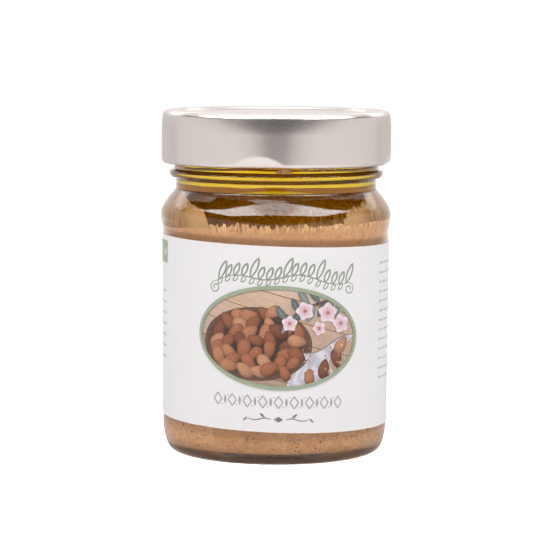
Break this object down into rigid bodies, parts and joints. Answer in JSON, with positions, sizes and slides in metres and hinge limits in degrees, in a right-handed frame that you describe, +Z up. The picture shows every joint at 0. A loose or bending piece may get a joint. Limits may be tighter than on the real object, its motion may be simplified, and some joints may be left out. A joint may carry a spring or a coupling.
{
  "type": "jar of almond butter",
  "caption": "Closed glass jar of almond butter with separated oil on top, a wrap-round paper label and a deep twist-off metal lid.",
  "frame": {"origin": "middle of the base, on the surface the jar stands on", "axes": "+Z up along the jar's axis, -Y out of the middle of the label, +X to the right of someone facing the label"},
  "size_m": [0.0738, 0.0738, 0.1093],
  "materials": {
    "glass": "clear, glossy flint glass",
    "lid_metal": "silver lacquer with a satin sheen",
    "almond_butter": "pale brown nut paste with dark specks of skin, wet against the glass",
    "oil": "clear amber almond oil",
    "label_paper": "white satin paper with a printed oval picture and grey ornaments"
  },
  "bodies": {
    "root": {"glass_jar": "glass", "lid": "lid_metal", "almond_butter": "almond_butter", "oil": "oil", "label": "label_paper"}
  },
  "joints": []
}
